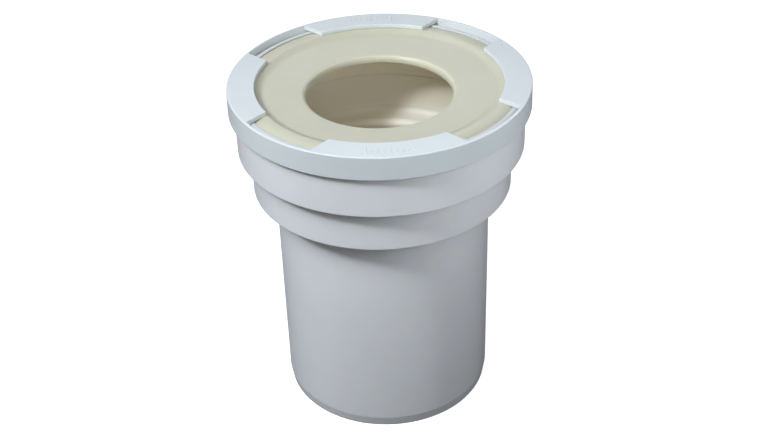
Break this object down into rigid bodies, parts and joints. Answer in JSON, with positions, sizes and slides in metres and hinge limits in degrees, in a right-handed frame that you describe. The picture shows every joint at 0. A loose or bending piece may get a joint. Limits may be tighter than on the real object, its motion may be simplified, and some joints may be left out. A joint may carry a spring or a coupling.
{
  "type": "straight wc pan connector",
  "caption": "Straight soil-pipe connector for a toilet outlet: stepped bell with a soft sealing cuff under a clipped tabbed ring, and a plain spigot.",
  "frame": {"origin": "centre of the spigot's open end, on the pipe's axis", "axes": "+Z along the pipe's axis, from the spigot up to the bell's mouth; +X and +Y through the middles of two neighbouring tabs of the retaining ring"},
  "size_m": [0.1506, 0.1506, 0.1797],
  "materials": {
    "body_plastic": "satin",
    "cuff_rubber": "matte",
    "ring_plastic": "satin"
  },
  "bodies": {
    "connector": {"connector_body": "body_plastic", "seal_cuff": "cuff_rubber"},
    "ring": {"retaining_ring": "ring_plastic"}
  },
  "joints": [
    {"name": "ring_turn", "type": "hinge", "parent": "connector", "child": "ring", "pos_m": [0, 0, 0.1773], "axis": [0, 0, 1], "continuous": true}
  ]
}
